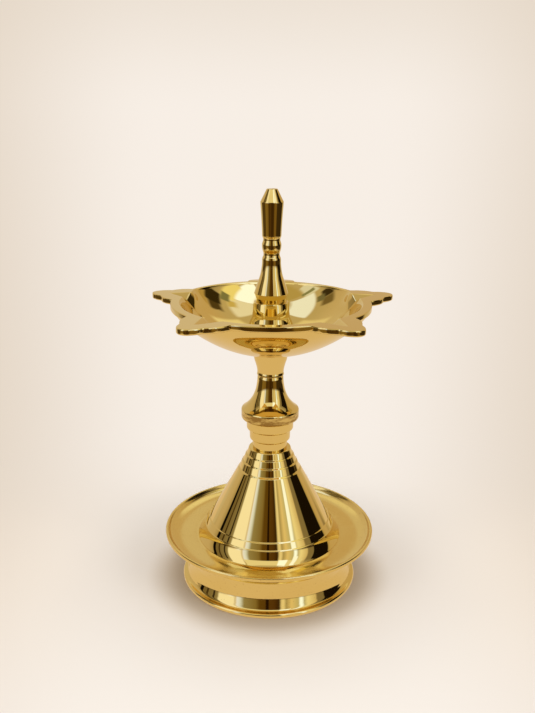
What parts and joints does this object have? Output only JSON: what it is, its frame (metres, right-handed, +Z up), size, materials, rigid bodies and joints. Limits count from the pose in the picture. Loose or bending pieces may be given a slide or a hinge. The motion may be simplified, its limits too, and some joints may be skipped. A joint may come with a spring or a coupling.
{
  "type": "pedestal diya",
  "caption": "Turned brass pedestal oil lamp with a scalloped spouted bowl, tapering finial, stepped hollow cone and drip tray on a hollow foot.",
  "frame": {"origin": "on the lamp's axis, at the level of the surface that the foot stands on", "axes": "+Z up along the lamp's axis, -Y towards the side seen in the picture, midway between two spouts"},
  "size_m": [0.1077, 0.1057, 0.178],
  "materials": {
    "tray_brass": "polished foot and rim, satin turned tray floor",
    "stem_brass": "polished",
    "bowl_brass": "polished, with hand-filed edges",
    "stud_brass": "machined",
    "fastener_steel": "zinc plated"
  },
  "bodies": {
    "pedestal": {"base_tray": "tray_brass", "cone_stem": "stem_brass", "knop": "stem_brass", "tie_rod": "fastener_steel"},
    "bowl_screw": {"bowl_stud": "stud_brass"},
    "bowl": {"oil_bowl": "bowl_brass"},
    "finial_screw": {"finial_stud": "stud_brass"},
    "finial": {"finial": "bowl_brass"},
    "nut_screw": {"base_washer": "fastener_steel"},
    "nut": {"base_nut": "fastener_steel"}
  },
  "joints": [
    {"name": "bowl_rise", "type": "slide", "parent": "pedestal", "child": "bowl_screw", "axis": [0, 0, 1], "range_m": [0, 0.009]},
    {"name": "bowl_turn", "type": "hinge", "parent": "bowl_screw", "child": "bowl", "pos_m": [0, 0, 0.1], "axis": [0, 0, 1], "range_deg": [0, 2160]},
    {"name": "finial_rise", "type": "slide", "parent": "bowl", "child": "finial_screw", "axis": [0, 0, 1], "range_m": [0, 0.009]},
    {"name": "finial_turn", "type": "hinge", "parent": "finial_screw", "child": "finial", "pos_m": [0, 0, 0.131], "axis": [0, 0, 1], "range_deg": [0, 2160]},
    {"name": "nut_drop", "type": "slide", "parent": "pedestal", "child": "nut_screw", "axis": [0, 0, -1], "range_m": [0, 0.007]},
    {"name": "nut_turn", "type": "hinge", "parent": "nut_screw", "child": "nut", "pos_m": [0, 0, 0.0149], "axis": [0, 0, -1], "range_deg": [0, 2520]}
  ],
  "couplings": [
    {"joint": "bowl_turn", "follows": "bowl_rise", "rad_per_m": 4188.8},
    {"joint": "finial_turn", "follows": "finial_rise", "rad_per_m": 4188.8},
    {"joint": "nut_turn", "follows": "nut_drop", "rad_per_m": 6283.2}
  ]
}
